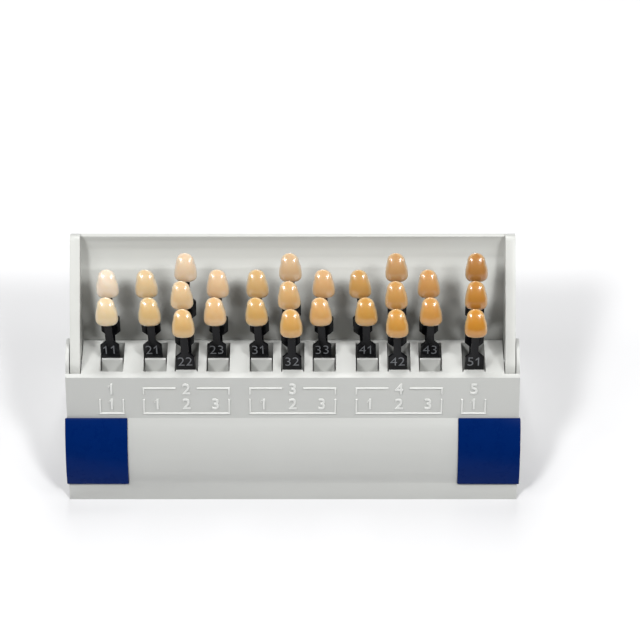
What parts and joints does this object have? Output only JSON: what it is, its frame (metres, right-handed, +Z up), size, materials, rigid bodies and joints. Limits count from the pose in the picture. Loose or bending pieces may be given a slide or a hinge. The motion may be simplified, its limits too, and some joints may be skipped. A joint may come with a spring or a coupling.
{
  "type": "dental shade guide",
  "caption": "Desk holder with a hinged hood and fans of tooth-shaped colour tabs on black arms, used to match the shade of a crown or denture.",
  "frame": {"origin": "middle of the flat underside, at the surface that the holder stands on", "axes": "+X to the right seen from the front, +Y to the back, +Z up"},
  "size_m": [0.1828, 0.0812, 0.0848],
  "materials": {
    "holder_plastic": "satin moulded light grey",
    "hood_plastic": "satin moulded light grey",
    "grip_rubber": "glossy dark blue",
    "arm_plastic": "glossy black",
    "steel": "turned",
    "tooth_group_1": "glazed, lightest",
    "tooth_group_2": "glazed, light",
    "tooth_group_3": "glazed, medium",
    "tooth_group_4": "glazed, dark",
    "tooth_group_5": "glazed, darkest"
  },
  "bodies": {
    "holder": {"base_shell": "holder_plastic", "floor_plate": "holder_plastic", "grip_pad_left": "grip_rubber", "grip_pad_right": "grip_rubber", "hood_pins": "steel", "fan_rivets": "steel", "arm_11_front": "arm_plastic", "tooth_11_front": "tooth_group_1", "arm_21_front": "arm_plastic", "tooth_21_front": "tooth_group_2", "arm_22_front": "arm_plastic", "tooth_22_front": "tooth_group_2", "arm_23_front": "arm_plastic", "tooth_23_front": "tooth_group_2", "arm_31_front": "arm_plastic", "tooth_31_front": "tooth_group_3", "arm_32_front": "arm_plastic", "tooth_32_front": "tooth_group_3", "arm_33_front": "arm_plastic", "tooth_33_front": "tooth_group_3", "arm_41_front": "arm_plastic", "tooth_41_front": "tooth_group_4", "arm_42_front": "arm_plastic", "tooth_42_front": "tooth_group_4", "arm_43_front": "arm_plastic", "tooth_43_front": "tooth_group_4", "arm_51_front": "arm_plastic", "tooth_51_front": "tooth_group_5"},
    "swing_11_back": {"arm_11_back": "arm_plastic", "tooth_11_back": "tooth_group_1"},
    "swing_21_back": {"arm_21_back": "arm_plastic", "tooth_21_back": "tooth_group_2"},
    "swing_22_middle": {"arm_22_middle": "arm_plastic", "tooth_22_middle": "tooth_group_2"},
    "swing_22_back": {"arm_22_back": "arm_plastic", "tooth_22_back": "tooth_group_2"},
    "swing_23_back": {"arm_23_back": "arm_plastic", "tooth_23_back": "tooth_group_2"},
    "swing_31_back": {"arm_31_back": "arm_plastic", "tooth_31_back": "tooth_group_3"},
    "swing_32_middle": {"arm_32_middle": "arm_plastic", "tooth_32_middle": "tooth_group_3"},
    "swing_32_back": {"arm_32_back": "arm_plastic", "tooth_32_back": "tooth_group_3"},
    "swing_33_back": {"arm_33_back": "arm_plastic", "tooth_33_back": "tooth_group_3"},
    "swing_41_back": {"arm_41_back": "arm_plastic", "tooth_41_back": "tooth_group_4"},
    "swing_42_middle": {"arm_42_middle": "arm_plastic", "tooth_42_middle": "tooth_group_4"},
    "swing_42_back": {"arm_42_back": "arm_plastic", "tooth_42_back": "tooth_group_4"},
    "swing_43_back": {"arm_43_back": "arm_plastic", "tooth_43_back": "tooth_group_4"},
    "swing_51_middle": {"arm_51_middle": "arm_plastic", "tooth_51_middle": "tooth_group_5"},
    "swing_51_back": {"arm_51_back": "arm_plastic", "tooth_51_back": "tooth_group_5"},
    "hood": {"hood": "hood_plastic"}
  },
  "joints": [
    {"name": "swivel_11_back", "type": "hinge", "parent": "holder", "child": "swing_11_back", "pos_m": [-0.0724, 0.00593, 0.02069], "axis": [0, 0.9455, -0.3256], "range_deg": [-2, 2]},
    {"name": "swivel_21_back", "type": "hinge", "parent": "holder", "child": "swing_21_back", "pos_m": [-0.0551, 0.00593, 0.02069], "axis": [0, 0.9455, -0.3256], "range_deg": [-2, 2]},
    {"name": "swivel_22_middle", "type": "hinge", "parent": "holder", "child": "swing_22_middle", "pos_m": [-0.0425, -0.00097, 0.02306], "axis": [0, 0.9455, -0.3256], "range_deg": [-2, 2]},
    {"name": "swivel_22_back", "type": "hinge", "parent": "holder", "child": "swing_22_back", "pos_m": [-0.0425, 0.00593, 0.02069], "axis": [0, 0.9455, -0.3256], "range_deg": [-2, 2]},
    {"name": "swivel_23_back", "type": "hinge", "parent": "holder", "child": "swing_23_back", "pos_m": [-0.0299, 0.00593, 0.02069], "axis": [0, 0.9455, -0.3256], "range_deg": [-2, 2]},
    {"name": "swivel_31_back", "type": "hinge", "parent": "holder", "child": "swing_31_back", "pos_m": [-0.0126, 0.00593, 0.02069], "axis": [0, 0.9455, -0.3256], "range_deg": [-2, 2]},
    {"name": "swivel_32_middle", "type": "hinge", "parent": "holder", "child": "swing_32_middle", "pos_m": [0, -0.00097, 0.02306], "axis": [0, 0.9455, -0.3256], "range_deg": [-2, 2]},
    {"name": "swivel_32_back", "type": "hinge", "parent": "holder", "child": "swing_32_back", "pos_m": [0, 0.00593, 0.02069], "axis": [0, 0.9455, -0.3256], "range_deg": [-2, 2]},
    {"name": "swivel_33_back", "type": "hinge", "parent": "holder", "child": "swing_33_back", "pos_m": [0.0126, 0.00593, 0.02069], "axis": [0, 0.9455, -0.3256], "range_deg": [-2, 2]},
    {"name": "swivel_41_back", "type": "hinge", "parent": "holder", "child": "swing_41_back", "pos_m": [0.0299, 0.00593, 0.02069], "axis": [0, 0.9455, -0.3256], "range_deg": [-2, 2]},
    {"name": "swivel_42_middle", "type": "hinge", "parent": "holder", "child": "swing_42_middle", "pos_m": [0.0425, -0.00097, 0.02306], "axis": [0, 0.9455, -0.3256], "range_deg": [-2, 2]},
    {"name": "swivel_42_back", "type": "hinge", "parent": "holder", "child": "swing_42_back", "pos_m": [0.0425, 0.00593, 0.02069], "axis": [0, 0.9455, -0.3256], "range_deg": [-2, 2]},
    {"name": "swivel_43_back", "type": "hinge", "parent": "holder", "child": "swing_43_back", "pos_m": [0.0551, 0.00593, 0.02069], "axis": [0, 0.9455, -0.3256], "range_deg": [-2, 2]},
    {"name": "swivel_51_middle", "type": "hinge", "parent": "holder", "child": "swing_51_middle", "pos_m": [0.0724, -0.00097, 0.02306], "axis": [0, 0.9455, -0.3256], "range_deg": [-2, 2]},
    {"name": "swivel_51_back", "type": "hinge", "parent": "holder", "child": "swing_51_back", "pos_m": [0.0724, 0.00593, 0.02069], "axis": [0, 0.9455, -0.3256], "range_deg": [-2, 2]},
    {"name": "hood_hinge", "type": "hinge", "parent": "holder", "child": "hood", "pos_m": [0, 0.00451, 0.04238], "axis": [1, 0, 0], "range_deg": [0, 18]}
  ]
}
